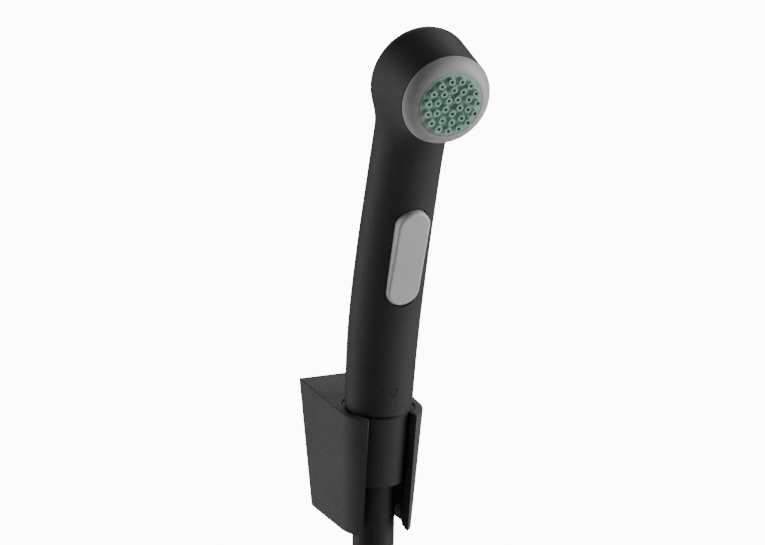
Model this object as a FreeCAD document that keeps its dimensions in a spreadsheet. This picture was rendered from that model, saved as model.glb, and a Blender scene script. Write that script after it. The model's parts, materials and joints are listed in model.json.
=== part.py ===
import FreeCAD, Part

import math
import os
import re

import Sketcher

# A trigger hand shower that stands in a wall holder, with its hose. Millimetres.
# Row frame: X to the right, Y into the wall (the wall is Y = 0), Z up. The origin is the
# middle of the two wall screws. The holder's seat leans forward from the wall, and the nut,
# the hose's first stretch and the bottom of the handset lie on its axis.

Vector = FreeCAD.Vector
Placement = FreeCAD.Placement
Rotation = FreeCAD.Rotation

SIZES = {
    # wall plate and holder
    "seat_lean": 13.0,
    "seat_to_wall": 36.5,
    "holder_top": 26.5,
    "holder_height": 50.8,
    "holder_back_half": 18.2,
    "holder_front_half": 17.5,
    "holder_taper": 2.75,
    "holder_front": 15.8,
    "jaw_radius": 14.0,
    "jaw_tip": 13.9,
    "jaw_tip_fillet": 1.3,
    "holder_edge": 0.5,
    "holder_wall": 2.4,
    "slot_half": 10.0,
    "seat_outer_top": 14.9,
    "seat_outer_bottom": 13.3,
    "seat_inner_top": 13.1,
    "seat_inner_bottom": 11.8,
    "seat_recess": 0.6,
    "cavity_front": 17.2,
    "plate_thickness": 3.5,
    "plate_half_height": 22.9,
    "plate_top_half": 14.7,
    "plate_bottom_half": 12.0,
    "screw_spacing": 25.0,
    "screw_hole": 2.5,
    "screw_head": 4.6,
    "screw_head_depth": 1.6,
    "set_screw_radius": 2.0,
    "set_screw_length": 9.0,
    "set_screw_behind_seat": 20.6,
    "set_screw_socket": 1.1,
    # conical nut and the hose's first fitting
    "nut_top": 0.6,
    "nut_height": 30.4,
    "nut_top_radius": 12.8,
    "nut_bottom_radius": 12.0,
    "nut_edge": 0.7,
    "nut_thread": 9.9,
    "nut_shoulder_depth": 15.9,
    "nut_collar_hole": 9.25,
    "stem_flange": 9.5,
    "stem_flange_thickness": 1.4,
    "stem_radius": 5.0,
    "stem_bore": 3.8,
    "stem_length": 20.0,
    "sleeve_radius": 8.85,
    "sleeve_length": 11.0,
    "hose_radius": 8.4,
    "hose_bore": 5.0,
    "washer_thickness": 3.0,
    "washer_bore": 6.5,
    # handset shell
    "shell_bottom": 0.4,
    "shell_wall": 2.4,
    "head_rim": 19.4,
    "head_back_radius": 20.9,
    "head_cone_length": 23.0,
    "head_dome": 11.0,
    "head_centre_up": 150.6,
    "head_centre_out": 47.6,
    "head_droop": 3.8,
    # spray face
    "ring_radius": 19.2,
    "ring_skirt": 16.85,
    "ring_skirt_bore": 15.2,
    "ring_skirt_length": 8.0,
    "ring_gap": 0.25,
    "ring_edge": 0.6,
    "ring_crown_radius": 7.4,
    "mat_radius": 13.85,
    "mat_top": 5.3,
    "mat_flange": 15.0,
    "mat_flange_bottom": 0.9,
    "mat_flange_top": 2.3,
    "mat_underside": 3.5,
    "mat_chamber": 12.2,
    "nozzle_foot": 1.75,
    "nozzle_tip": 1.5,
    "nozzle_height": 2.1,
    "nozzle_bore": 0.72,
    "inner_circle": 3.3,
    "middle_circle": 7.15,
    "outer_circle": 10.9,
    "jet_plate_thickness": 2.0,
    "gasket_thickness": 0.8,
    "cup_bore": 13.2,
    "cup_depth": 7.1,
    "cup_floor": 2.0,
    "elbow_radius": 8.2,
    "elbow_bore": 4.0,
    "elbow_back": 21.0,
    # water path in the handle
    "inlet_thread": 9.85,
    "inlet_thread_end": 11.5,
    "inlet_body": 10.9,
    "inlet_top": 20.0,
    "cartridge_radius": 7.4,
    "cartridge_bore": 5.6,
    "cartridge_bottom": 9.0,
    "cartridge_top": 5.0,
    "poppet_radius": 4.4,
    "poppet_stem": 1.2,
    "poppet_seat": 3.4,
    "limiter_top": 8.8,
    "tube_radius": 5.0,
    "tube_bore": 3.6,
    "tube_fit": 0.05,
    "seal_section": 0.75,
    "pin_height": 10.8,
    "pin_radius": 1.35,
    "pin_hole": 1.6,
    "pin_outer_end": 13.75,
    "pin_inner_end": 9.3,
    # valve and trigger
    "button_up": 73.9,
    "button_out": 6.1,
    "button_lean": 9.5,
    "button_half_length": 22.4,
    "button_half_width": 7.0,
    "button_face_top": 17.6,
    "button_face_bottom": 14.6,
    "button_roof": 2.2,
    "button_wall": 1.9,
    "button_skirt": 8.2,
    "button_edge": 1.2,
    "window_gap": 0.35,
    "window_top_gap": 0.7,
    "pivot_down": 14.5,
    "pivot_out": 8.6,
    "pivot_radius": 1.25,
    "pivot_half_length": 6.6,
    "pivot_lug": 2.1,
    "running_gap": 0.07,
    "ear_inner": 3.2,
    "ear_outer": 4.7,
    "barrel_radius": 7.5,
    "barrel_in": 3.5,
    "barrel_bottom": 20.0,
    "barrel_top": 21.0,
    "stem_up": 8.0,
    "bonnet_radius": 4.4,
    "bonnet_top": 5.8,
    "bonnet_bottom": 2.0,
    "chamber_radius": 3.3,
    "valve_seat_radius": 2.3,
    "valve_seat_top": -1.4,
    "valve_seat_bottom": -2.6,
    "valve_plug_top": -8.9,
    "valve_plug_bottom": -10.3,
    "stem_seal_width": 1.4,
    "stem_seal_depth": 1.6,
    "rod_radius": 1.6,
    "rod_tip": 7.9,
    # stored hose and its far fitting
    "coil_radius": 90.0,
    "coil_turns": 1.8,
    "coil_pitch": 17.2,
    "hose_off_wall": 10.2,
    "tie_width": 9.0,
    "tie_thickness": 1.2,
    "tie_gap": 0.4,
    "far_nut_circle": 12.9,
    "far_nut_height": 17.0,
    "far_nut_room": 4.0,
    "far_washer_thickness": 2.4,
    "far_thread": 9.32,
}

doc = FreeCAD.newDocument("HandShower")
sheet = doc.addObject("Spreadsheet::Sheet", "Sizes")
for row_number, (alias, number) in enumerate(SIZES.items(), start=1):
    sheet.set(f"A{row_number}", alias)
    sheet.set(f"B{row_number}", str(number))
    sheet.setAlias(f"B{row_number}", alias)
doc.recompute()

NODES = {}


def bound(text):
    """Give every alias in an expression the sheet's name."""
    return re.sub(r"[a-z][a-z_]*_[a-z_]*[a-z]", lambda found: "Sizes." + found.group(0), str(text))


def value(text):
    """The number that an expression over the sheet's aliases stands for."""
    return float(sheet.evalExpression(str(text)))


def bind(item, prop, text):
    item.setExpression(prop, bound(text))


# ---------------------------------------------------------------- building blocks


def primitive(kind, name, sizes, at=None, rotation=None):
    """A Part primitive with its sizes bound to the sheet, and its position too if one is given."""
    item = doc.addObject("Part::" + kind, name)
    item.Placement = Placement(Vector(), rotation or Rotation())
    for prop, text in sizes.items():
        bind(item, prop, text)
    for letter, text in zip("xyz", at or ()):
        bind(item, "Placement.Base." + letter, text)
    return item


def cylinder(name, radius, height, at=None, rotation=None):
    return primitive("Cylinder", name, {"Radius": radius, "Height": height}, at, rotation)


def cone(name, bottom, top, height, at=None, rotation=None):
    return primitive("Cone", name, {"Radius1": bottom, "Radius2": top, "Height": height}, at, rotation)


def box(name, low, high):
    """A block from its low corner to its high corner, both given as expressions."""
    names = ("Length", "Width", "Height")
    sizes = {prop: f"({b}) - ({a})" for prop, a, b in zip(names, low, high)}
    return primitive("Box", name, sizes, low)


def fuse(name, pieces):
    item = doc.addObject("Part::MultiFuse", name)
    item.Shapes = pieces
    return item


def cut(name, base, tools):
    """Take each tool away from the base in turn."""
    for tool in tools:
        item = doc.addObject("Part::Cut", name)
        item.Base = base
        item.Tool = tool
        base = item
    return base


def fillet(name, base, radius, wanted):
    """Round the edges of base whose middle point passes the test."""
    doc.recompute()
    item = doc.addObject("Part::Fillet", name)
    item.Base = base
    edges = []
    for number, edge in enumerate(base.Shape.Edges, start=1):
        middle = edge.valueAt((edge.FirstParameter + edge.LastParameter) / 2)
        if wanted(middle, edge):
            edges.append((number, value(radius), value(radius)))
    item.Edges = edges
    return item


def plane_of(body, role):
    for feature in body.Origin.OriginFeatures:
        if feature.Role == role:
            return feature
    raise ValueError(role)


def arc_centre(first, last, radius, left):
    """Centre of an arc from first to last that turns left or right."""
    half = (last - first) * 0.5
    rise = math.sqrt(max(radius**2 - half.Length**2, 0.0))
    side = Vector(-half.y, half.x, 0).normalize() * rise
    return first + half + (side if left else side * -1)


def outline(body, name, corners, role="XY_Plane", lift="0"):
    """A closed sketch of lines and arcs. Each corner is (x, y), and an arc up to the next
    corner adds its radius and the way it turns. Corners and radii are bound to the sheet."""
    sketch = body.newObject("Sketcher::SketchObject", name)
    sketch.AttachmentSupport = [(plane_of(body, role), "")]
    sketch.MapMode = "FlatFace"
    bind(sketch, "AttachmentOffset.Base.z", lift)
    points = [Vector(value(corner[0]), value(corner[1]), 0) for corner in corners]
    starts = []
    ends = []
    for number, corner in enumerate(corners):
        here = points[number]
        there = points[(number + 1) % len(points)]
        if len(corner) == 2:
            sketch.addGeometry(Part.LineSegment(here, there), False)
            starts.append(1)
            ends.append(2)
            continue
        left = corner[3] == "left"
        radius = value(corner[2])
        centre = arc_centre(here, there, radius, left)
        first, last = (here, there) if left else (there, here)
        turn = math.atan2(first.y - centre.y, first.x - centre.x)
        stop = math.atan2(last.y - centre.y, last.x - centre.x)
        circle = Part.Circle(centre, Vector(0, 0, 1), radius)
        sketch.addGeometry(Part.ArcOfCircle(circle, turn, stop), False)
        starts.append(1 if left else 2)
        ends.append(2 if left else 1)
    for number, corner in enumerate(corners):
        following = (number + 1) % len(corners)
        join = (number, ends[number], following, starts[following])
        sketch.addConstraint(Sketcher.Constraint("Coincident", *join))
        for kind, text, size in zip(("DistanceX", "DistanceY"), corner, points[number]):
            spot = (-1, 1, number, starts[number], size)
            index = sketch.addConstraint(Sketcher.Constraint(kind, *spot))
            bind(sketch, f"Constraints[{index}]", text)
        if len(corner) == 4:
            index = sketch.addConstraint(Sketcher.Constraint("Radius", number, value(corner[2])))
            bind(sketch, f"Constraints[{index}]", corner[2])
    return sketch


def revolved(name, corners):
    """A body turned about Z from a half section of (radius, height) corners."""
    body = doc.addObject("PartDesign::Body", name)
    sketch = outline(body, name + "_section", corners, "XZ_Plane")
    turned = body.newObject("PartDesign::Revolution", name + "_turned")
    turned.Profile = sketch
    turned.ReferenceAxis = (sketch, ["V_Axis"])
    turned.Angle = 360
    body.Tip = turned
    return body


def washer(name, bore, radius, bottom, top):
    """A plain disc, ring or short tube about Z."""
    return revolved(name, [(bore, bottom), (radius, bottom), (radius, top), (bore, top)])


def padded(name, corners, bottom, top, role="XY_Plane"):
    """A body pushed up from its outline, between two heights above its plane."""
    body = doc.addObject("PartDesign::Body", name)
    sketch = outline(body, name + "_outline", corners, role, bottom)
    pad = body.newObject("PartDesign::Pad", name + "_pad")
    pad.Profile = sketch
    bind(pad, "Length", f"({top}) - ({bottom})")
    body.Tip = pad
    return body


def lofted(name, top_corners, bottom_corners, top, bottom):
    """A body with straight sides between an upper and a lower outline."""
    body = doc.addObject("PartDesign::Body", name)
    upper = outline(body, name + "_upper", top_corners, lift=top)
    lower = outline(body, name + "_lower", bottom_corners, lift=bottom)
    loft = body.newObject("PartDesign::AdditiveLoft", name + "_loft")
    loft.Profile = upper
    loft.Sections = [lower]
    loft.Ruled = True
    body.Tip = loft
    return body


def stadium(half_width, top, bottom):
    """Outline with round ends, standing along Y from bottom to top."""
    upper = f"({top}) - ({half_width})"
    lower = f"({bottom}) + ({half_width})"
    right = f"({half_width})"
    left = f"-({half_width})"
    return [
        (right, lower),
        (right, upper, half_width, "left"),
        ("0", top, half_width, "left"),
        (left, upper),
        (left, lower, half_width, "left"),
        ("0", bottom, half_width, "left"),
    ]


def shaped(name, shape):
    """A piece with no simpler construction, given its finished shape."""
    item = doc.addObject("Part::Feature", name)
    item.Shape = shape
    return item


def spring(name, coil, wire, low, high, turns):
    """A round-wire compression spring along Z."""
    height = high - low - 2 * wire
    helix = Part.makeHelix(height / turns, height, coil)
    helix.translate(Vector(0, 0, low + wire))
    circle = Part.Circle(Vector(coil, 0, low + wire), Vector(0, 1, 0), wire)
    section = Part.Wire([circle.toShape()])
    return shaped(name, Part.Wire(helix.Edges).makePipeShell([section], True, True))


def route_wire(points, note):
    """Straight runs joined by tangent arcs as large as the runs allow, and the arc radii."""
    edges = []
    radii = []
    here = points[0]
    for before, corner, after in zip(points, points[1:], points[2:]):
        back = (before - corner).normalize()
        ahead = (after - corner).normalize()
        turn = math.pi - back.getAngle(ahead)
        reach = 0.45 * min((before - corner).Length, (after - corner).Length)
        radius = reach / math.tan(turn / 2)
        start = corner + back * reach
        stop = corner + ahead * reach
        inward = (back + ahead).normalize()
        centre = corner + inward * (radius / math.cos(turn / 2))
        middle = centre - inward * radius
        edges.append(Part.LineSegment(here, start).toShape())
        edges.append(Part.Arc(start, middle, stop).toShape())
        here = stop
        radii.append(radius)
    edges.append(Part.LineSegment(here, points[-1]).toShape())
    print(note, "bend radii", [round(radius, 1) for radius in radii])
    return Part.Wire(edges)


def pipe(points, outer, bore, note):
    """A round tube along a route; its volume is compared with section times length."""
    wire = route_wire(points, note)
    normal = (points[1] - points[0]).normalize()

    def swept(radius):
        section = Part.Wire([Part.Circle(points[0], normal, radius).toShape()])
        return wire.makePipeShell([section], True, False)

    solid = swept(outer)
    expected = math.pi * outer**2 * wire.Length
    if bore:
        solid = solid.cut(swept(bore))
        expected -= math.pi * bore**2 * wire.Length
    print(note, "length", round(wire.Length, 1), "volume ratio", round(solid.Volume / expected, 4))
    return solid


def node(label, item, frame, body):
    """Name a finished sub-part, put it in its frame and note the body it moves with."""
    item.Label = label
    item.Placement = frame.multiply(item.Placement)
    NODES[label] = (item, body)
    return item


# ---------------------------------------------------------------- frames

LEAN = Rotation(Vector(1, 0, 0), value("seat_lean"))
SEAT_TOP = Vector(
    0,
    -value("seat_to_wall") * math.cos(math.radians(value("seat_lean"))),
    value("holder_top") - value("seat_to_wall") * math.sin(math.radians(value("seat_lean"))),
)
WALL = Placement()
SEAT = Placement(SEAT_TOP, LEAN)
HEAD = SEAT.multiply(
    Placement(
        Vector(0, -value("head_centre_out"), value("head_centre_up")),
        Rotation(Vector(1, 0, 0), 90 + value("head_droop")),
    )
)
# In the trigger's frame Y runs up the handle and Z points out of its front.
TRIGGER_IN_SEAT = Placement(
    Vector(0, -value("button_out"), value("button_up")),
    Rotation(Vector(1, 0, 0), 90 + value("button_lean")),
)
TRIGGER = SEAT.multiply(TRIGGER_IN_SEAT)
ALONG_X = Rotation(Vector(0, 1, 0), 90)
ALONG_Y = Rotation(Vector(1, 0, 0), -90)
TOWARDS_FRONT = Rotation(Vector(1, 0, 0), 90)

# ---------------------------------------------------------------- wall plate and holder


def holder_corners(narrower, back):
    """Holder outline: flat back, straight sides that close in, round front corners."""
    rear = f"holder_back_half - {narrower}"
    front = f"holder_front_half - {narrower}"
    return [
        (f"-({rear})", back),
        (f"-({front})", "jaw_radius - holder_front", "jaw_radius", "left"),
        (f"jaw_radius - ({front})", "-holder_front"),
        (f"({front}) - jaw_radius", "-holder_front", "jaw_radius", "left"),
        (front, "jaw_radius - holder_front"),
        (rear, back),
    ]


def cavity_corners(narrower):
    half = f"holder_back_half - holder_wall - {narrower}"
    return [
        (f"-({half})", "seat_to_wall + 5"),
        (f"-({half})", "cavity_front"),
        (half, "cavity_front"),
        (half, "seat_to_wall + 5"),
    ]


def slot_corners():
    """Opening between the jaws, flared where their tips are rounded."""
    flare = "slot_half + jaw_tip_fillet"
    turn = "jaw_tip_fillet - jaw_tip"
    return [
        ("slot_half", "0"),
        ("-slot_half", "0"),
        ("-slot_half", turn, "jaw_tip_fillet", "right"),
        (f"-({flare})", "-jaw_tip"),
        (f"-({flare})", "-holder_front - 2"),
        (flare, "-holder_front - 2"),
        (flare, "-jaw_tip", "jaw_tip_fillet", "right"),
        ("slot_half", turn),
    ]


def make_holder_body():
    back_bottom = "seat_to_wall - holder_height * tan(seat_lean)"
    block = lofted(
        "holder_block",
        holder_corners("0", "seat_to_wall"),
        holder_corners("holder_taper", back_bottom),
        "0",
        "-holder_height",
    )
    seat = cone(
        "holder_seat",
        "seat_outer_bottom - (seat_outer_top - seat_outer_bottom) / holder_height",
        "seat_outer_top + (seat_outer_top - seat_outer_bottom) / holder_height",
        "holder_height + 2",
        ("0", "0", "-holder_height - 1"),
    )
    slot = padded("holder_slot", slot_corners(), "-holder_height - 1", "1")
    cavity = lofted(
        "holder_cavity",
        cavity_corners("0.1"),
        cavity_corners("holder_taper"),
        "-holder_wall",
        "holder_wall - holder_height",
    )
    hole = cylinder(
        "holder_screw_hole",
        "set_screw_radius",
        "2 * holder_wall",
        ("0", "set_screw_behind_seat", "-holder_height - 1"),
    )
    height = value("holder_height")
    back = value("seat_to_wall") - height * math.tan(math.radians(value("seat_lean")))

    def is_rim(middle, edge):
        level = edge.BoundBox.ZLength < 0.01
        return level and middle.y < back - 1

    soft = fillet("holder_soft_block", block, "holder_edge", is_rim)
    return cut("holder_shell", soft, [seat, slot, cavity, hole])


def make_holder_liner():
    length = "holder_height - 2 * seat_recess"
    low = ("0", "0", "seat_recess - holder_height")
    slope = "seat_recess * (seat_outer_top - seat_outer_bottom) / holder_height"
    outer = cone("liner_outer", f"seat_outer_bottom + {slope}", f"seat_outer_top - {slope}", length, low)
    inner = cone("liner_inner", "seat_inner_bottom", "seat_inner_top", length, low)
    slot = box(
        "liner_slot",
        ("-slot_half", "-holder_front - 2", "-holder_height"),
        ("slot_half", "0", "0"),
    )
    return cut("liner_ring", outer, [inner, slot])


def make_wall_plate():
    """Flat plate with two countersunk holes and a lug for the set screw."""
    corners = [
        ("-plate_top_half", "plate_half_height"),
        ("-plate_bottom_half", "-plate_half_height"),
        ("plate_bottom_half", "-plate_half_height"),
        ("plate_top_half", "plate_half_height"),
    ]
    plate = padded("plate_blank", corners, "0", "plate_thickness", "XZ_Plane")
    lug = box(
        "plate_lug",
        ("-6", "-8", "-plate_half_height"),
        ("6", "-plate_thickness + 0.5", "-plate_half_height + 9"),
    )
    tools = []
    for side, sign in (("upper", ""), ("lower", "-")):
        height = f"{sign}screw_spacing / 2"
        tools.append(
            cylinder(
                f"plate_hole_{side}",
                "screw_hole",
                "plate_thickness + 2",
                ("0", "1", height),
                TOWARDS_FRONT,
            )
        )
        tools.append(
            cylinder(
                f"plate_sink_{side}",
                "screw_head",
                "screw_head_depth + 1",
                ("0", "screw_head_depth - plate_thickness", height),
                TOWARDS_FRONT,
            )
        )
    screw = cylinder("plate_screw_hole", "set_screw_radius", "14")
    screw.Placement = set_screw_frame(-value("holder_height") - 1)
    tools.append(screw)
    return cut("plate_drilled", fuse("plate_with_lug", [plate, lug]), tools)


def set_screw_frame(height):
    offset = Placement(Vector(0, value("set_screw_behind_seat"), height), Rotation())
    return SEAT.multiply(offset)


def make_set_screw():
    shank = cylinder("set_screw_shank", "set_screw_radius", "set_screw_length")
    socket = primitive("Prism", "set_screw_hex", {"Circumradius": "set_screw_socket", "Height": "3"})
    socket.Polygon = 6
    return cut("set_screw", shank, [socket])


node("holder_body", make_holder_body(), SEAT, "holder")
node("holder_liner", make_holder_liner(), SEAT, "holder")
node("wall_plate", make_wall_plate(), WALL, "holder")
node("holder_set_screw", make_set_screw(), set_screw_frame(-value("holder_height") + 0.4), "holder")

# ---------------------------------------------------------------- handset shell

# Stations of the handle's centre line: height along the seat axis, distance in front of it,
# forward lean in degrees and outer radius. The handle bends gently, and then forward
# into the head.
HANDLE = [
    (0.4, 0.0, 0.0, 13.55),
    (15.0, 0.1, 1.5, 13.95),
    (31.0, 0.8, 3.8, 14.3),
    (46.0, 2.3, 5.8, 14.45),
    (58.0, 4.0, 8.6, 14.5),
    (76.0, 6.9, 9.8, 14.5),
    (94.0, 10.3, 10.8, 14.5),
    (112.0, 13.8, 11.8, 14.5),
    (130.0, 17.8, 13.0, 14.7),
    (144.0, 21.1, 14.0, 14.8),
]


def handle_loft(name, inset, bottom_drop):
    """The handle's round bar, closed by a ball inside the head."""
    sections = []
    for number, (up, out, lean, radius) in enumerate(HANDLE):
        circle = doc.addObject("Part::Circle", f"{name}_section_{number}")
        circle.Placement = Placement(
            Vector(0, -out, up - (bottom_drop if number == 0 else 0)),
            Rotation(Vector(1, 0, 0), lean),
        )
        bind(circle, "Radius", f"{radius} - {inset}")
        sections.append(circle)
    loft = doc.addObject("Part::Loft", name + "_loft")
    loft.Sections = sections
    loft.Solid = True
    loft.Ruled = False
    up, out, _, radius = HANDLE[-1]
    ball = primitive("Sphere", name + "_ball", {"Radius": f"{radius} - {inset}"}, ("0", str(-out), str(up)))
    return fuse(name, [loft, ball])


def head_drum(name, inset, mouth):
    """The head's slightly tapered drum with its domed back, in the seat's frame."""
    drum = cone(
        name + "_cone",
        f"head_back_radius - {inset}",
        f"head_rim - {inset}",
        f"head_cone_length + {mouth}",
        ("0", "0", "-head_cone_length"),
    )
    dome_sizes = {
        "Radius1": f"head_dome - {inset}",
        "Radius2": f"head_back_radius - {inset}",
        "Radius3": f"head_back_radius - {inset}",
    }
    dome = primitive("Ellipsoid", name + "_dome", dome_sizes, ("0", "0", "-head_cone_length"))
    drum_and_dome = fuse(name, [drum, dome])
    drum_and_dome.Placement = SEAT.inverse().multiply(HEAD)
    return drum_and_dome


def make_shell():
    outer = fuse("shell_outer", [handle_loft("handle_outer", "0", 0), head_drum("head_outer", "0", "0")])
    inner = fuse(
        "shell_inner",
        [handle_loft("handle_inner", "shell_wall", 1.0), head_drum("head_inner", "shell_wall", "2")],
    )
    window = padded(
        "shell_window",
        stadium(
            "button_half_width + window_gap",
            "button_half_length + window_top_gap",
            "-button_half_length - window_gap",
        ),
        "5",
        "20",
    )
    window.Placement = TRIGGER_IN_SEAT
    pin_hole = cylinder("shell_pin_hole", "pin_hole", "10", ("0", "-6", "pin_height"), TOWARDS_FRONT)
    return cut("shell_hollow", outer, [inner, window, pin_hole])


node("handset_shell", make_shell(), SEAT, "handset")

# ---------------------------------------------------------------- spray face


def nozzle_places():
    """Centres of the nozzles, on three circles of 5, 10 and 15."""
    places = []
    circles = (("inner_circle", 5, 54), ("middle_circle", 10, 18), ("outer_circle", 15, 0))
    for radius, count, start in circles:
        for number in range(count):
            turn = start + number * 360 / count
            places.append((f"{radius} * cos({turn})", f"{radius} * sin({turn})"))
    return places


def make_spray_ring():
    return revolved(
        "ring_part",
        [
            ("ring_skirt_bore", "-ring_skirt_length"),
            ("ring_skirt", "-ring_skirt_length"),
            ("ring_skirt", "ring_gap"),
            ("ring_radius", "ring_gap"),
            ("ring_radius", "ring_edge", "ring_crown_radius", "left"),
            ("mat_radius + 0.1", "mat_top - 0.1"),
            ("mat_radius + 0.1", "mat_flange_top + 0.05"),
            ("ring_skirt_bore", "mat_flange_top + 0.05"),
        ],
    )


def make_nozzle_mat():
    disc = revolved(
        "mat_disc",
        [
            ("0", "mat_underside"),
            ("mat_chamber", "mat_underside"),
            ("mat_chamber", "mat_flange_bottom"),
            ("mat_flange", "mat_flange_bottom"),
            ("mat_flange", "mat_flange_top"),
            ("mat_radius", "mat_flange_top"),
            ("mat_radius", "mat_top - 0.3"),
            ("mat_radius - 0.3", "mat_top"),
            ("0", "mat_top"),
        ],
    )
    studs = []
    bores = []
    for number, (across, up) in enumerate(nozzle_places()):
        foot = (across, up, "mat_top - 0.2")
        studs.append(cone(f"nozzle_{number}", "nozzle_foot", "nozzle_tip", "nozzle_height + 0.2", foot))
        bores.append(cylinder(f"nozzle_bore_{number}", "nozzle_bore", "8", (across, up, "2")))
    return cut("mat_pierced", fuse("mat_with_nozzles", [disc] + studs), bores)


def make_jet_plate():
    disc = cylinder(
        "jet_disc",
        "mat_flange",
        "jet_plate_thickness",
        ("0", "0", "mat_flange_bottom - jet_plate_thickness"),
    )
    holes = []
    for number, (across, up) in enumerate(nozzle_places()):
        holes.append(cylinder(f"jet_hole_{number}", "nozzle_bore", "6", (across, up, "-3")))
    return cut("jet_pierced", disc, holes)


def make_head_gasket():
    return revolved(
        "gasket_part",
        [
            ("cup_bore", "mat_flange_bottom - jet_plate_thickness - gasket_thickness"),
            ("mat_flange", "mat_flange_bottom - jet_plate_thickness - gasket_thickness"),
            ("mat_flange", "mat_flange_bottom - jet_plate_thickness"),
            ("cup_bore", "mat_flange_bottom - jet_plate_thickness"),
        ],
    )


# The manifold's inlet stub meets the water tube that comes up the handle.
STUB_LEAN = 14.0
STUB_REACH = 18.5


def stub_frame():
    """Frame on the head's axis where the inlet stub starts, with Z down the handle."""
    turn = -(90 + value("head_droop") - STUB_LEAN) + 180
    return Placement(Vector(0, 0, -value("elbow_back")), Rotation(Vector(1, 0, 0), turn))


def make_manifold():
    """Cup behind the jet plate, with a blind neck and a stub that turns down the handle."""
    rim = "mat_flange_bottom - jet_plate_thickness - gasket_thickness"
    cup = cylinder("manifold_cup", "mat_flange", "cup_depth", ("0", "0", f"{rim} - cup_depth"))
    neck_low = "-elbow_back - elbow_radius + 0.6"
    neck = cylinder("manifold_neck", "elbow_radius", "elbow_back + 3", ("0", "0", neck_low))
    stub = cylinder("manifold_stub", "tube_radius + 2 * seal_section + 1", str(STUB_REACH))
    stub.Placement = stub_frame()
    chamber_start = f"{rim} - cup_depth + cup_floor"
    chamber = cylinder("manifold_chamber", "cup_bore", "cup_depth", ("0", "0", chamber_start))
    neck_start = "-elbow_back - elbow_bore"
    neck_bore = cylinder("manifold_neck_bore", "elbow_bore", "elbow_back", ("0", "0", neck_start))
    stub_bore = cylinder("manifold_stub_bore", "tube_bore", str(STUB_REACH + 2))
    stub_bore.Placement = stub_frame()
    socket = cylinder("manifold_socket", "tube_radius + tube_fit", "12")
    socket.Placement = stub_frame().multiply(Placement(Vector(0, 0, STUB_REACH - 10), Rotation()))
    groove = seal_groove("manifold_groove")
    groove.Placement = stub_frame().multiply(Placement(Vector(0, 0, STUB_REACH - 4), Rotation()))
    solid = fuse("manifold_solid", [cup, neck, stub])
    return cut("manifold_bored", solid, [chamber, neck_bore, stub_bore, socket, groove])


def seal_groove(name):
    """Square groove for a tube seal, centred on its frame."""
    return washer(name, "0", "tube_radius + 2 * seal_section", "-seal_section", "seal_section")


def make_tube_seal(name):
    sizes = {"Radius1": "tube_radius + seal_section", "Radius2": "seal_section"}
    return primitive("Torus", name, sizes)


node("spray_ring", make_spray_ring(), HEAD, "handset")
node("nozzle_mat", make_nozzle_mat(), HEAD, "handset")
node("jet_plate", make_jet_plate(), HEAD, "handset")
node("head_gasket", make_head_gasket(), HEAD, "handset")
node("head_manifold", make_manifold(), HEAD, "handset")
STUB_SEAL = HEAD.multiply(stub_frame()).multiply(Placement(Vector(0, 0, STUB_REACH - 4), Rotation()))
node("tube_seal_head", make_tube_seal("seal_head"), STUB_SEAL, "handset")

# ---------------------------------------------------------------- inlet and check valve

INLET_SEAL_UP = 16.0


def make_inlet_connector():
    """Threaded end below the handset, and the body that the pin locks in the handle."""
    thread = cylinder(
        "inlet_thread_part",
        "inlet_thread",
        "inlet_thread_end + 1",
        ("0", "0", "-inlet_thread_end"),
    )
    barrel = cylinder("inlet_barrel", "inlet_body", "inlet_top - shell_bottom", ("0", "0", "shell_bottom"))
    cartridge = cylinder(
        "inlet_cartridge_bore",
        "cartridge_radius",
        "inlet_thread_end + limiter_top + 1",
        ("0", "0", "-inlet_thread_end - 1"),
    )
    through = cylinder("inlet_through", "tube_bore", "20", ("0", "0", "2"))
    socket = cylinder("inlet_socket", "tube_radius + tube_fit", "10", ("0", "0", "inlet_top - 8"))
    groove = seal_groove("inlet_groove")
    groove.Placement = Placement(Vector(0, 0, INLET_SEAL_UP), Rotation())
    pin = cylinder(
        "inlet_pin_hole",
        "pin_radius",
        "6",
        ("0", "-pin_inner_end", "pin_height"),
        TOWARDS_FRONT,
    )
    solid = fuse("inlet_solid", [thread, barrel])
    return cut("inlet_bored", solid, [cartridge, through, socket, groove, pin])


def make_check_body():
    """Cartridge with a seat lip at the bottom and a guide bridge across the top."""
    sleeve = revolved(
        "check_sleeve",
        [
            ("poppet_seat", "-cartridge_bottom"),
            ("cartridge_radius", "-cartridge_bottom"),
            ("cartridge_radius", "cartridge_top"),
            ("cartridge_bore", "cartridge_top"),
            ("cartridge_bore", "1.2 - cartridge_bottom"),
            ("poppet_seat", "1.2 - cartridge_bottom"),
        ],
    )
    bridge = box(
        "check_bridge",
        ("-cartridge_bore - 0.4", "-1.6", "cartridge_top - 4.2"),
        ("cartridge_bore + 0.4", "1.6", "cartridge_top"),
    )
    hole = cylinder(
        "check_guide",
        "poppet_stem + running_gap",
        "7",
        ("0", "0", "cartridge_top - 5"),
    )
    return cut("check_body", fuse("check_solid", [sleeve, bridge]), [hole])


def make_poppet():
    return revolved(
        "poppet_part",
        [
            ("0", "1.3 - cartridge_bottom"),
            ("poppet_radius", "1.3 - cartridge_bottom"),
            ("poppet_radius", "2.5 - cartridge_bottom"),
            ("poppet_stem", "3.3 - cartridge_bottom"),
            ("poppet_stem", "cartridge_top - 2.2"),
            ("0", "cartridge_top - 2.2"),
        ],
    )


def make_limiter():
    disc = cylinder(
        "limiter_disc",
        "cartridge_radius",
        "limiter_top - cartridge_top",
        ("0", "0", "cartridge_top"),
    )
    holes = []
    for number in range(6):
        turn = number * 60
        centre = (f"3.4 * cos({turn})", f"3.4 * sin({turn})", "cartridge_top - 1")
        holes.append(cylinder(f"limiter_hole_{number}", "0.9", "7", centre))
    return cut("limiter_pierced", disc, holes)


def make_locking_pin():
    return washer("pin_shank", "0", "pin_radius", "pin_inner_end", "pin_outer_end")


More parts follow.
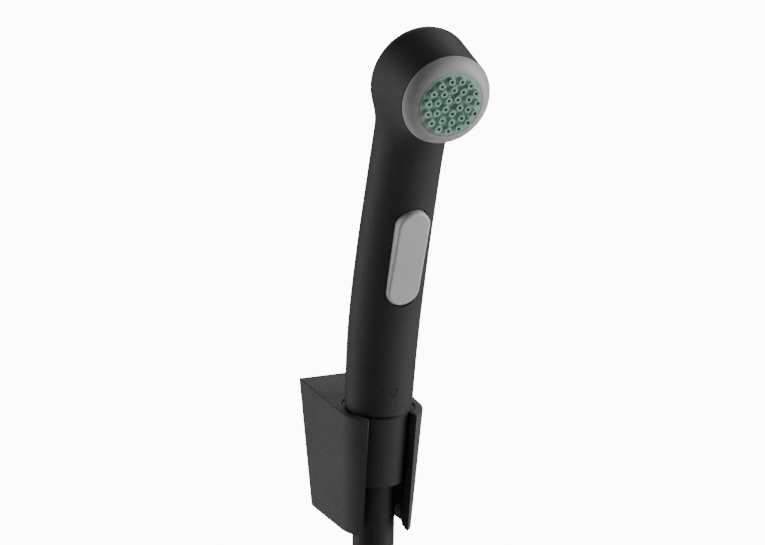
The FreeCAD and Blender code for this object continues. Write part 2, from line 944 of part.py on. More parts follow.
node("inlet_connector", make_inlet_connector(), SEAT, "handset")
node("check_valve_body", make_check_body(), SEAT, "handset")
node("check_valve_poppet", make_poppet(), SEAT, "check_poppet")
CHECK_SPRING = spring("check_coil", 2.2, 0.3, -5.6, 0.7, 4.0)
node("check_valve_spring", CHECK_SPRING, SEAT, "handset")
node("flow_limiter", make_limiter(), SEAT, "handset")
PIN = SEAT.multiply(Placement(Vector(0, 0, value("pin_height")), TOWARDS_FRONT))
node("locking_pin", make_locking_pin(), PIN, "handset")
INLET_SEAL = SEAT.multiply(Placement(Vector(0, 0, INLET_SEAL_UP), Rotation()))
node("tube_seal_inlet", make_tube_seal("seal_inlet"), INLET_SEAL, "handset")

# ---------------------------------------------------------------- valve

LOW_SEAL_UP = -15.5
HIGH_SEAL_UP = 17.5


def along_barrel(up):
    """Frame on the valve barrel's axis with Z up the handle, in the trigger's frame."""
    return Placement(Vector(0, up, -value("barrel_in")), ALONG_Y)


def make_valve_body():
    """Barrel along the handle, a cross boss for the stem and two ears for the pivot."""
    barrel = cylinder("valve_barrel", "barrel_radius", "barrel_bottom + barrel_top")
    barrel.Placement = along_barrel(-value("barrel_bottom"))
    boss = cylinder(
        "valve_boss",
        "bonnet_radius + 1.2",
        "bonnet_top - valve_plug_bottom",
        ("0", "stem_up", "valve_plug_bottom"),
    )
    ears = []
    for side, low, high in (("left", "-ear_outer", "-ear_inner"), ("right", "ear_inner", "ear_outer")):
        ears.append(
            box(
                f"valve_ear_{side}",
                (low, "-pivot_down - 1.9", "1"),
                (high, "-pivot_down + 1.9", "pivot_out + 1.8"),
            )
        )
    solid = fuse("valve_solid", [barrel, boss] + ears)
    low_socket = cylinder("valve_low_socket", "tube_radius + tube_fit", "8")
    low_socket.Placement = along_barrel(-value("barrel_bottom") - 1)
    high_socket = cylinder("valve_high_socket", "tube_radius + tube_fit", "9")
    high_socket.Placement = along_barrel(value("barrel_top") - 7)
    low_groove = seal_groove("valve_low_groove")
    low_groove.Placement = along_barrel(LOW_SEAL_UP)
    high_groove = seal_groove("valve_high_groove")
    high_groove.Placement = along_barrel(HIGH_SEAL_UP)
    inlet = cylinder("valve_inlet", "2.2", "stem_up + 10", ("0", "-10", "-6"), ALONG_Y)
    outlet = cylinder("valve_outlet", "1.6", "8", ("0", "stem_up", "0.2"), ALONG_Y)
    spring_room = cylinder(
        "valve_spring_room",
        "chamber_radius",
        "valve_seat_bottom - valve_plug_bottom + 1",
        ("0", "stem_up", "valve_plug_bottom - 1"),
    )
    seat = cylinder("valve_seat", "valve_seat_radius", "4", ("0", "stem_up", "valve_seat_bottom - 1"))
    upper_room = cylinder(
        "valve_upper_room",
        "chamber_radius",
        "bonnet_bottom - valve_seat_top",
        ("0", "stem_up", "valve_seat_top"),
    )
    bonnet_bore = cylinder(
        "valve_bonnet_bore",
        "bonnet_radius",
        "bonnet_top - bonnet_bottom + 1",
        ("0", "stem_up", "bonnet_bottom"),
    )
    pivot = cylinder(
        "valve_pivot_hole",
        "pivot_radius",
        "4 * ear_outer",
        ("-2 * ear_outer", "-pivot_down", "pivot_out"),
        ALONG_X,
    )
    tools = [low_socket, high_socket, low_groove, high_groove, inlet, outlet]
    tools += [spring_room, seat, upper_room, bonnet_bore, pivot]
    return cut("valve_body_bored", solid, tools)


def make_bonnet():
    return revolved(
        "bonnet_part",
        [
            ("rod_radius + running_gap", "bonnet_bottom"),
            ("bonnet_radius", "bonnet_bottom"),
            ("bonnet_radius", "bonnet_top"),
            ("rod_radius + stem_seal_width", "bonnet_top"),
            ("rod_radius + stem_seal_width", "bonnet_top - stem_seal_depth"),
            ("rod_radius + running_gap", "bonnet_top - stem_seal_depth"),
        ],
    )


def make_valve_stem():
    return revolved(
        "stem_part",
        [
            ("0", "-5.4"),
            ("1.2", "-5.4"),
            ("1.2", "-4.2"),
            ("chamber_radius - 0.4", "-4.2"),
            ("chamber_radius - 0.4", "-3.2"),
            ("rod_radius", "-3.2"),
            ("rod_radius", "rod_tip - 0.4"),
            ("rod_radius - 0.4", "rod_tip"),
            ("0", "rod_tip"),
        ],
    )


STEM = TRIGGER.multiply(Placement(Vector(0, value("stem_up"), 0), Rotation()))
node("valve_body", make_valve_body(), TRIGGER, "handset")
node("valve_bonnet", make_bonnet(), STEM, "handset")
node("valve_stem", make_valve_stem(), STEM, "valve_stem")
node(
    "valve_seal",
    washer("valve_seal_part", "rod_radius", "chamber_radius - 0.4", "-3.2", "valve_seat_bottom - 0.02"),
    STEM,
    "valve_stem",
)
node(
    "stem_seal",
    washer(
        "stem_seal_part",
        "rod_radius + 0.02",
        "rod_radius + stem_seal_width",
        "bonnet_top - stem_seal_depth",
        "bonnet_top - 0.2",
    ),
    STEM,
    "handset",
)
node(
    "valve_plug",
    washer("valve_plug_part", "0", "chamber_radius", "valve_plug_bottom", "valve_plug_top"),
    STEM,
    "handset",
)
node("valve_spring", spring("valve_coil", 2.2, 0.3, -8.85, -4.3, 3.0), STEM, "handset")
node(
    "tube_seal_valve_low",
    make_tube_seal("seal_valve_low"),
    TRIGGER.multiply(along_barrel(LOW_SEAL_UP)),
    "handset",
)
node(
    "tube_seal_valve_high",
    make_tube_seal("seal_valve_high"),
    TRIGGER.multiply(along_barrel(HIGH_SEAL_UP)),
    "handset",
)

# ---------------------------------------------------------------- trigger


def make_button():
    """Hollow stadium cap with a flat sloping face, hinged near its lower end."""
    block = padded(
        "button_block",
        stadium("button_half_width", "button_half_length", "-button_half_length"),
        "button_skirt",
        "button_face_top + 2",
    )
    slope = math.degrees(
        math.atan2(
            value("button_face_top") - value("button_face_bottom"),
            2 * value("button_half_length"),
        )
    )
    above = padded("button_above", stadium("20", "40", "-40"), "0", "10")
    middle_level = (value("button_face_top") + value("button_face_bottom")) / 2
    above.Placement = Placement(Vector(0, 0, middle_level), Rotation(Vector(1, 0, 0), slope))
    faced = cut("button_faced", block, [above])
    top_level = value("button_face_bottom")

    def is_face_rim(middle, edge):
        return middle.z > top_level - 0.1

    soft = fillet("button_soft", faced, "button_edge", is_face_rim)
    hollow = padded(
        "button_hollow",
        stadium(
            "button_half_width - button_wall",
            "button_half_length - button_wall",
            "button_wall - button_half_length",
        ),
        "button_skirt - 1",
        "button_face_bottom - button_roof",
    )
    cap = cut("button_cap", soft, [hollow])
    lugs = []
    for side, start in (("left", "-button_half_width + 0.3"), ("right", "button_half_width - button_wall")):
        lugs.append(
            cylinder(
                f"button_lug_{side}",
                "pivot_lug",
                "button_wall - 0.3",
                (start, "-pivot_down", "pivot_out"),
                ALONG_X,
            )
        )
    pusher = cylinder(
        "button_pusher",
        "rod_radius + 0.6",
        "button_face_bottom - button_roof - rod_tip + 0.4",
        ("0", "stem_up", "rod_tip + 0.1"),
    )
    pivot = cylinder(
        "button_pivot_hole",
        "pivot_radius + running_gap",
        "20",
        ("-10", "-pivot_down", "pivot_out"),
        ALONG_X,
    )
    return cut("button_part", fuse("button_solid", [cap, pusher] + lugs), [pivot])


node("trigger_button", make_button(), TRIGGER, "trigger")
PIVOT = TRIGGER.multiply(Placement(Vector(0, -value("pivot_down"), value("pivot_out")), ALONG_X))
PIVOT_PIN = washer("pivot_pin_part", "0", "pivot_radius", "-pivot_half_length", "pivot_half_length")
node("trigger_pin", PIVOT_PIN, PIVOT, "handset")
RETURN_SPRING = TRIGGER.multiply(Placement(Vector(0, -4, 0), Rotation()))
RETURN_LOW = value("barrel_radius - barrel_in") + 0.05
RETURN_HIGH = value("button_face_bottom - button_roof") - 0.05
RETURN_COIL = spring("return_coil", 2.4, 0.35, RETURN_LOW, RETURN_HIGH, 6.0)
node("trigger_spring", RETURN_COIL, RETURN_SPRING, "handset")

# ---------------------------------------------------------------- water tubes


def tube_points(points):
    """Points given as height along the seat axis and distance in front of it, in its frame."""
    return [Vector(0, -out, up) for up, out in points]


def trigger_point(up, out):
    """A point of the trigger's frame, in the seat's frame, as height and distance in front."""
    point = TRIGGER_IN_SEAT.multVec(Vector(0, up, out))
    return (point.z, -point.y)


def stub_point(reach):
    """A point along the manifold's stub, in the seat's frame."""
    point = SEAT.inverse().multiply(HEAD).multiply(stub_frame()).multVec(Vector(0, 0, reach))
    return (point.z, -point.y)


LOW_TUBE = [
    (12.0, 0.0),
    (27.0, 0.0),
    trigger_point(-value("barrel_bottom") - 9, -value("barrel_in")),
    trigger_point(-value("barrel_bottom") + 6.5, -value("barrel_in")),
]
HIGH_TUBE = [
    trigger_point(value("barrel_top") - 6.5, -value("barrel_in")),
    trigger_point(value("barrel_top") + 6, -value("barrel_in")),
    stub_point(STUB_REACH + 9),
    stub_point(STUB_REACH - 9.5),
]

LOW_PIPE = pipe(tube_points(LOW_TUBE), value("tube_radius"), value("tube_bore"), "lower tube")
HIGH_PIPE = pipe(tube_points(HIGH_TUBE), value("tube_radius"), value("tube_bore"), "upper tube")
node("water_tube_lower", shaped("low_tube", LOW_PIPE), SEAT, "handset")
node("water_tube_upper", shaped("high_tube", HIGH_PIPE), SEAT, "handset")

# ---------------------------------------------------------------- nut and the hose's first fitting


def make_hose_nut():
    """Conical nut: threaded at the top, with a collar that holds the hose's fitting."""
    return revolved(
        "nut_part",
        [
            ("nut_thread", "-nut_top"),
            ("nut_top_radius - nut_edge", "-nut_top"),
            ("nut_top_radius", "-nut_top - nut_edge"),
            ("nut_bottom_radius", "nut_edge - nut_top - nut_height"),
            ("nut_bottom_radius - nut_edge", "-nut_top - nut_height"),
            ("nut_collar_hole", "-nut_top - nut_height"),
            ("nut_collar_hole", "-nut_top - nut_shoulder_depth"),
            ("nut_thread", "-nut_top - nut_shoulder_depth"),
        ],
    )


# Heights of the first fitting: the washer is under the inlet's end, the flange under it.
FLANGE_TOP = "-inlet_thread_end - washer_thickness"
HOSE_START = "-inlet_thread_end - washer_thickness - stem_flange_thickness"


def make_stem():
    """Barbed stem inside the hose, with the flange that the nut pulls up."""
    return revolved(
        "hose_stem_part",
        [
            ("stem_bore", f"{HOSE_START} - stem_length"),
            ("stem_radius - 0.4", f"{HOSE_START} - stem_length"),
            ("stem_radius", f"{HOSE_START} - stem_length + 1.5"),
            ("stem_radius", HOSE_START),
            ("stem_flange", HOSE_START),
            ("stem_flange", FLANGE_TOP),
            ("stem_bore", FLANGE_TOP),
        ],
    )


node("hose_nut", make_hose_nut(), SEAT, "handset")
node(
    "inlet_washer",
    washer("washer_part", "washer_bore", "inlet_thread - 0.1", FLANGE_TOP, "-inlet_thread_end"),
    SEAT,
    "handset",
)
node("hose_stem", make_stem(), SEAT, "hose")
node(
    "hose_sleeve",
    washer("sleeve_part", "hose_radius", "sleeve_radius", f"{HOSE_START} - sleeve_length", HOSE_START),
    SEAT,
    "hose",
)

# ---------------------------------------------------------------- hose

# Points of the hose that isn't coiled, in the row frame. The first run lies on the seat's
# axis, so that the hose can follow the nut up through the holder.
HOSE_TOP = SEAT.multVec(Vector(0, 0, value(HOSE_START)))
HOSE_FIRST_BEND = SEAT.multVec(Vector(0, 0, -88.0))
HOSE_ROUTE = [
    HOSE_TOP,
    HOSE_FIRST_BEND,
    Vector(11.0, -11.0, -106.0),
    Vector(32.0, -value("hose_off_wall"), -140.0),
    Vector(54.0, -value("hose_off_wall"), -160.5),
]


def coil_frame():
    """Centre of the coil, and the angle at which the hose runs into it."""
    before, last = HOSE_ROUTE[-2:]
    run = (last - before).normalize()
    start = math.atan2(run.x, -run.z)
    radius = value("coil_radius")
    centre = last - Vector(radius * math.cos(start), 0, radius * math.sin(start))
    return centre, start


COIL_CENTRE, COIL_START = coil_frame()


def coil_point(turns, radius=None):
    """A point of the coil after some turns, clockwise seen from the front, at the wall."""
    angle = COIL_START - 2 * math.pi * turns
    reach = value("coil_radius") if radius is None else radius
    return COIL_CENTRE + Vector(reach * math.cos(angle), 0, reach * math.sin(angle))


def make_coil():
    """Outer shape of two turns side by side: a ring with a flat, round-ended section."""
    radius = value("hose_radius")
    inner = value("coil_radius") - radius
    outer = value("coil_radius") + radius
    front = value("coil_pitch")
    middle = value("coil_radius")
    section = Part.Wire(
        [
            Part.LineSegment(Vector(outer, 0, 0), Vector(outer, -front, 0)).toShape(),
            Part.Arc(
                Vector(outer, -front, 0),
                Vector(middle, -front - radius, 0),
                Vector(inner, -front, 0),
            ).toShape(),
            Part.LineSegment(Vector(inner, -front, 0), Vector(inner, 0, 0)).toShape(),
            Part.Arc(Vector(inner, 0, 0), Vector(middle, radius, 0), Vector(outer, 0, 0)).toShape(),
        ]
    )
    return shaped("coil_part", Part.Face(section).revolve(Vector(), Vector(0, 1, 0), 360))


def make_tie():
    """Strap round the two turns."""
    radius = value("hose_radius + tie_gap")
    half = value("coil_pitch") / 2
    width = value("tie_width")

    def loop(reach):
        wire = Part.Wire(
            [
                Part.LineSegment(Vector(reach, -half, 0), Vector(reach, half, 0)).toShape(),
                Part.Arc(
                    Vector(reach, half, 0),
                    Vector(0, half + reach, 0),
                    Vector(-reach, half, 0),
                ).toShape(),
                Part.LineSegment(Vector(-reach, half, 0), Vector(-reach, -half, 0)).toShape(),
                Part.Arc(
                    Vector(-reach, -half, 0),
                    Vector(0, -half - reach, 0),
                    Vector(reach, -half, 0),
                ).toShape(),
            ]
        )
        return Part.Face(wire).extrude(Vector(0, 0, width))

    strap = loop(radius + value("tie_thickness")).cut(loop(radius))
    strap.translate(Vector(0, 0, -width / 2))
    return shaped("tie_part", strap)


TIE_TURNS = 0.13
TIE_POINT = coil_point(TIE_TURNS)
TIE_ANGLE = math.degrees(COIL_START) - 360 * TIE_TURNS
TIE_FRAME = Placement(
    Vector(TIE_POINT.x, TIE_POINT.y - value("coil_pitch") / 2, TIE_POINT.z),
    Rotation(Vector(0, 1, 0), -TIE_ANGLE),
)

HOSE_PIPE = pipe(HOSE_ROUTE, value("hose_radius"), value("hose_bore"), "hose")
node("hose_tube", shaped("hose_part", HOSE_PIPE), WALL, "hose")
node("hose_coil", make_coil(), Placement(COIL_CENTRE, Rotation()), "hose")
node("hose_tie", make_tie(), TIE_FRAME, "hose")

# The far end leaves the coil's front turn along its tangent and comes forward a little.
END_ANGLE = COIL_START - 2 * math.pi * value("coil_turns")
END_POINT = coil_point(value("coil_turns")) + Vector(0, -value("coil_pitch"), 0)
END_RUN = Vector(math.sin(END_ANGLE), -0.35, -math.cos(END_ANGLE)).normalize()
FAR_TAIL = 54.0
TAIL_END = END_POINT + END_RUN * FAR_TAIL
FAR = Placement(TAIL_END, Rotation(Vector(0, 0, 1), END_RUN))


def make_tail():
    length = FAR_TAIL + 6
    solid = Part.makeCylinder(value("hose_radius"), length, END_POINT - END_RUN * 6, END_RUN)
    bore = Part.makeCylinder(value("stem_radius"), length, END_POINT - END_RUN * 6, END_RUN)
    return shaped("tail_part", solid.cut(bore))


# The far fitting, along Z from the end of the hose.
def make_far_nut():
    prism = primitive("Prism", "far_nut_hex", {"Circumradius": "far_nut_circle", "Height": "far_nut_height"})
    prism.Polygon = 6
    bind(prism, "Placement.Base.z", "-3")
    rounding = revolved(
        "far_nut_rounding",
        [
            ("0", "-3"),
            ("far_nut_circle - 1.2", "-3"),
            ("far_nut_circle", "-2.3"),
            ("far_nut_circle", "far_nut_height - 3.7"),
            ("far_nut_circle - 1.2", "far_nut_height - 3"),
            ("0", "far_nut_height - 3"),
        ],
    )
    blank = doc.addObject("Part::MultiCommon", "far_nut_blank")
    blank.Shapes = [prism, rounding]
    room = cylinder("far_nut_room", "far_thread + 0.4", "far_nut_room + 0.5", ("0", "0", "-0.3"))
    thread = cylinder("far_nut_thread", "far_thread", "far_nut_height", ("0", "0", "far_nut_room"))
    collar = cylinder("far_nut_collar", "sleeve_radius + 0.3", "6", ("0", "0", "-4"))
    return cut("far_nut_part", blank, [room, thread, collar])


def make_far_stem():
    return revolved(
        "far_stem_part",
        [
            ("stem_bore", "-stem_length"),
            ("stem_radius", "-stem_length"),
            ("stem_radius", "0"),
            ("far_thread - 0.3", "0"),
            ("far_thread - 0.3", "stem_flange_thickness"),
            ("stem_bore", "stem_flange_thickness"),
        ],
    )


node("hose_tail", make_tail(), WALL, "hose")
node("far_stem", make_far_stem(), FAR, "hose")
FAR_SLEEVE = washer("far_sleeve_part", "hose_radius", "sleeve_radius", "-sleeve_length", "0")
node("far_sleeve", FAR_SLEEVE, FAR, "hose")
node("far_nut", make_far_nut(), FAR, "far_nut")
node(
    "far_washer",
    washer(
        "far_washer_part",
        "washer_bore - 0.5",
        "far_thread - 0.3",
        "stem_flange_thickness",
        "stem_flange_thickness + far_washer_thickness",
    ),
    FAR,
    "hose",
)

# ---------------------------------------------------------------- check and write

doc.recompute()
for item in doc.Objects:
    if "Invalid" in item.State or "Error" in item.State:
        raise RuntimeError(f"{item.Label} failed: {item.State}")

os.makedirs("parts", exist_ok=True)
for label, (item, body) in NODES.items():
    if item.Shape.isNull() or not item.Shape.isValid():
        raise RuntimeError(f"{label} has no valid shape")
    solids = len(item.Shape.Solids)
    print(f"{label:22s} {body:12s} solids {solids} volume {item.Shape.Volume:.1f}")
    item.Shape.exportStep(f"parts/{label}.step")
print(len(NODES), "nodes; coil centre", COIL_CENTRE, "far end", TAIL_END, END_RUN)
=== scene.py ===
import json
import math

import bmesh
import bpy
import numpy as np
from mathutils import Matrix, Vector


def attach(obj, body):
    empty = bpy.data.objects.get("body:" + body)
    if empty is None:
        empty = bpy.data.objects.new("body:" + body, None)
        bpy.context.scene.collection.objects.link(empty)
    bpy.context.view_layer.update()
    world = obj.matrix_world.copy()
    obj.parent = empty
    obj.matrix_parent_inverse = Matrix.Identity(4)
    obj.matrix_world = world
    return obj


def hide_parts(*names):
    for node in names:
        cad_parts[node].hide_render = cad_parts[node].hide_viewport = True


# A trigger hand shower in its wall holder. Metres; lengths given in millimetres use MM.
MM = 0.001

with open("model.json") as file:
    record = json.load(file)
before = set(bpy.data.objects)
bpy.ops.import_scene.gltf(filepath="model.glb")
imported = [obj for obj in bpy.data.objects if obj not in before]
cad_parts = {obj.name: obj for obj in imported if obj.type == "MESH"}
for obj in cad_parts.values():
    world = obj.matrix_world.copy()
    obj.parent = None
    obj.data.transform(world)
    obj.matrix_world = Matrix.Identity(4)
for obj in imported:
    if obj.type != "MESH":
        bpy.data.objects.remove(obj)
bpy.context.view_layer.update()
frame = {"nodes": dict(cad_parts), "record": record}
NODES = frame["nodes"]

# ---------------------------------------------------------------- places from the design

SEAT_LEAN = math.radians(13.0)
SEAT_TO_WALL = 36.5 * MM
HOLDER_TOP = 26.5 * MM
SEAT_TOP = Vector((0, -SEAT_TO_WALL * math.cos(SEAT_LEAN), HOLDER_TOP - SEAT_TO_WALL * math.sin(SEAT_LEAN)))
SEAT = Matrix.Translation(SEAT_TOP) @ Matrix.Rotation(SEAT_LEAN, 4, "X")
HEAD_DROOP = math.radians(3.8)
HEAD_CENTRE = Vector((0, -47.6 * MM, 150.6 * MM))
HEAD_IN_SEAT = Matrix.Translation(HEAD_CENTRE) @ Matrix.Rotation(math.pi / 2 + HEAD_DROOP, 4, "X")
BUTTON_CENTRE = Vector((0, -6.1 * MM, 73.9 * MM))
BUTTON_LEAN = math.radians(9.5)
BUTTON_IN_SEAT = Matrix.Translation(BUTTON_CENTRE) @ Matrix.Rotation(math.pi / 2 + BUTTON_LEAN, 4, "X")

# ---------------------------------------------------------------- camera


def add_camera():
    """Parallel camera in front of the holder, a little to its left and above it."""
    azimuth, elevation, roll = math.radians(24.0), math.radians(10.0), math.radians(2.7)
    towards = Vector(
        (
            -math.sin(azimuth) * math.cos(elevation),
            -math.cos(azimuth) * math.cos(elevation),
            math.sin(elevation),
        )
    )
    level = Vector((math.cos(azimuth), -math.sin(azimuth), 0))
    upright = towards.cross(level)
    right = level * math.cos(roll) - upright * math.sin(roll)
    up = towards.cross(right)
    corner = Vector((-17.6 * MM, 0, HOLDER_TOP))
    aim = corner + right * 32.76 * MM + up * 42.2 * MM
    place = aim + towards * 1.2
    camera = bpy.data.objects.new("camera", bpy.data.cameras.new("camera"))
    camera.data.type = "ORTHO"
    camera.data.ortho_scale = 306 * MM
    camera.data.clip_end = 10
    camera.matrix_world = Matrix(
        (
            (right.x, up.x, towards.x, place.x),
            (right.y, up.y, towards.y, place.y),
            (right.z, up.z, towards.z, place.z),
            (0, 0, 0, 1),
        )
    )
    bpy.context.collection.objects.link(camera)
    bpy.context.scene.camera = camera


add_camera()

# ---------------------------------------------------------------- materials


def add_node(tree, kind, **inputs):
    item = tree.nodes.new(kind)
    for name, setting in inputs.items():
        item.inputs[name.replace("_", " ")].default_value = setting
    return item


def material(
    name, colour, roughness, spread=0.12, grain=900.0, bump=0.06, broad=30.0, metallic=0.0, gleam=0.5
):
    """Moulded or machined surface: fine grain in the bump and the gloss, slow changes of colour."""
    made = bpy.data.materials.new(name)
    made.use_nodes = True
    tree = made.node_tree
    shader = tree.nodes["Principled BSDF"]
    shader.inputs["Metallic"].default_value = metallic
    shader.inputs["Specular IOR Level"].default_value = gleam
    place = tree.nodes.new("ShaderNodeTexCoord")
    slow = add_node(tree, "ShaderNodeTexNoise", Scale=broad, Detail=4.0)
    fine = add_node(tree, "ShaderNodeTexNoise", Scale=grain, Detail=2.0)
    for noise in (slow, fine):
        tree.links.new(place.outputs["Object"], noise.inputs["Vector"])
    tones = tree.nodes.new("ShaderNodeValToRGB")
    tones.color_ramp.elements[0].position = 0.3
    tones.color_ramp.elements[1].position = 0.7
    tones.color_ramp.elements[0].color = [part * (1 - spread) for part in colour] + [1]
    tones.color_ramp.elements[1].color = [min(part * (1 + spread), 1) for part in colour] + [1]
    tree.links.new(slow.outputs["Fac"], tones.inputs["Fac"])
    tree.links.new(tones.outputs["Color"], shader.inputs["Base Color"])
    gloss = add_node(tree, "ShaderNodeMapRange", From_Min=0.3, From_Max=0.7)
    gloss.inputs["To Min"].default_value = roughness * 0.9
    gloss.inputs["To Max"].default_value = roughness * 1.1
    tree.links.new(fine.outputs["Fac"], gloss.inputs["Value"])
    tree.links.new(gloss.outputs["Result"], shader.inputs["Roughness"])
    relief = add_node(tree, "ShaderNodeBump", Strength=bump, Distance=0.0003)
    tree.links.new(fine.outputs["Fac"], relief.inputs["Height"])
    tree.links.new(relief.outputs["Normal"], shader.inputs["Normal"])
    return made


LOOKS = {
    "black_shell": material(
        "black_shell", (0.042, 0.042, 0.0425), 0.58, grain=1500.0, bump=0.05, gleam=0.22
    ),
    "black_holder": material(
        "black_holder", (0.075, 0.075, 0.076), 0.6, grain=1100.0, bump=0.12, gleam=0.22
    ),
    "black_hose": material("black_hose", (0.02, 0.02, 0.0205), 0.5, grain=500.0, bump=0.05, gleam=0.3),
    "grey_button": material(
        "grey_button", (0.64, 0.65, 0.665), 0.5, spread=0.05, grain=1300.0, bump=0.08
    ),
    "grey_ring": material("grey_ring", (0.48, 0.48, 0.485), 0.38, spread=0.04, grain=2500.0, bump=0.02),
    "green_mat": material("green_mat", (0.38, 0.6, 0.475), 0.6, grain=1100.0, bump=0.1),
    "white_plastic": material("white_plastic", (0.72, 0.72, 0.7), 0.45, spread=0.04),
    "brass": material("brass", (0.66, 0.48, 0.2), 0.28, spread=0.08, grain=700.0, metallic=1.0),
    "steel": material("steel", (0.55, 0.55, 0.56), 0.32, spread=0.06, grain=800.0, metallic=1.0),
    "seal": material("seal", (0.02, 0.02, 0.02), 0.6, grain=700.0),
    "chrome": material(
        "chrome", (0.72, 0.72, 0.73), 0.12, spread=0.03, grain=300.0, bump=0.02, metallic=1.0
    ),
}


def dress_cad_nodes():
    """Give every CAD node the look of its material slot."""
    for entry in frame["record"]["subparts"]:
        item = NODES[entry["node"]]
        look = LOOKS[entry["material_slot"]]
        if not item.material_slots:
            item.data.materials.append(look)
        for socket in item.material_slots:
            socket.material = look


dress_cad_nodes()

# ---------------------------------------------------------------- hose

HOSE_RADIUS = 8.4 * MM
COIL_RADIUS = 90.0 * MM
COIL_TURNS = 1.8
COIL_PITCH = 17.2 * MM
COIL_POINTS = 16
TAIL_LENGTH = 54.0 * MM
HOSE_TOP = SEAT @ Vector((0, 0, -15.9 * MM))
HOSE_ROUTE = [
    HOSE_TOP,
    SEAT @ Vector((0, 0, -88.0 * MM)),
    Vector((11.0, -11.0, -106.0)) * MM,
    Vector((32.0, -10.2, -140.0)) * MM,
    Vector((54.0, -10.2, -160.5)) * MM,
]


def smooth_step(amount):
    amount = min(max(amount, 0.0), 1.0)
    return amount * amount * (3 - 2 * amount)


def hose_points():
    """Route points of the whole hose: the free stretch, the stored turns and the tail."""
    before, last = HOSE_ROUTE[-2:]
    run = (last - before).normalized()
    start = math.atan2(run.x, -run.z)
    centre = last - Vector((math.cos(start), 0, math.sin(start))) * COIL_RADIUS
    points = list(HOSE_ROUTE)
    # control points lie a little outside the line that they make
    reach = COIL_RADIUS * 2 / (1 + math.cos(math.pi / COIL_POINTS))
    steps = round(COIL_TURNS * COIL_POINTS)
    for step in range(1, steps + 1):
        turns = COIL_TURNS * step / steps
        angle = start - 2 * math.pi * turns
        forward = COIL_PITCH * smooth_step((turns - 0.72) / 0.28)
        points.append(centre + Vector((math.cos(angle) * reach, -forward, math.sin(angle) * reach)))
    angle = start - 2 * math.pi * COIL_TURNS
    end_run = Vector((math.sin(angle), -0.35, -math.cos(angle))).normalized()
    end = centre + Vector((math.cos(angle), 0, math.sin(angle))) * COIL_RADIUS + Vector((0, -COIL_PITCH, 0))
    points.append(end + end_run * TAIL_LENGTH * 0.5)
    points.append(end + end_run * TAIL_LENGTH)
    return points


def make_hose():
    curve = bpy.data.curves.new("hose", "CURVE")
    curve.dimensions = "3D"
    spline = curve.splines.new("NURBS")
    points = hose_points()
    spline.points.add(len(points) - 1)
    for point, place in zip(spline.points, points):
        point.co = (*place, 1)
    spline.order_u = 3
    spline.use_endpoint_u = True
    spline.resolution_u = 8
    curve.bevel_depth = HOSE_RADIUS
    curve.bevel_resolution = 7
    curve.use_fill_caps = True
    hose = bpy.data.objects.new("hose", curve)
    bpy.context.collection.objects.link(hose)
    curve.materials.append(LOOKS["black_hose"])
    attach(hose, "hose")
    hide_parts("hose_tube", "hose_coil", "hose_tail")


make_hose()

# ---------------------------------------------------------------- handset body

# Stations of the handle, in millimetres in the seat's frame: height, distance in front, radius.
HANDLE = [
    (-8.0, 0.0, 13.5),
    (0.4, 0.0, 13.55),
    (15.0, 0.1, 13.95),
    (31.0, 0.8, 14.3),
    (46.0, 2.3, 14.45),
    (58.0, 4.0, 14.5),
    (76.0, 6.9, 14.5),
    (94.0, 10.3, 14.5),
    (112.0, 13.8, 14.5),
    (130.0, 17.8, 14.7),
    (144.0, 21.1, 14.8),
]
HEAD_RIM = 19.4
HEAD_BACK = 20.9
HEAD_LENGTH = 23.0
HEAD_DOME = 11.0
NECK_BLEND = 13.0
WALL = 2.4
SKIN_CELL = 1.0
CAVITY_CELL = 1.6
DRUM_LIP = 4
FOOT_LEVEL = 0.4
BUTTON_HALF_WIDTH = 7.0
BUTTON_HALF_LENGTH = 22.4
WINDOW_GAP = 0.35
WINDOW_TOP_GAP = 0.7
PIN_UP = 10.8
PIN_HOLE_RADIUS = 1.6


def handle_line():
    """Points and radii along the handle's smooth centre line."""
    stations = np.array(HANDLE)
    heights = np.linspace(stations[0, 0], stations[-1, 0], 60)
    slopes = np.gradient(stations[:, 1], stations[:, 0])
    outs = []
    for height in heights:
        index = int(np.clip(np.searchsorted(stations[:, 0], height) - 1, 0, len(stations) - 2))
        low, high = stations[index], stations[index + 1]
        span = high[0] - low[0]
        part = (height - low[0]) / span
        bend = (2 * part**3 - 3 * part**2 + 1) * low[1] + (3 * part**2 - 2 * part**3) * high[1]
        bend += (part**3 - 2 * part**2 + part) * span * slopes[index]
        outs.append(bend + (part**3 - part**2) * span * slopes[index + 1])
    radii = np.interp(heights, stations[:, 0], stations[:, 2])
    return np.column_stack([np.zeros_like(heights), -np.array(outs), heights]), radii


LINE, LINE_RADII = handle_line()
HEAD_AXES = np.array(HEAD_IN_SEAT.to_3x3())
HEAD_PLACE = np.array(HEAD_IN_SEAT.translation) / MM


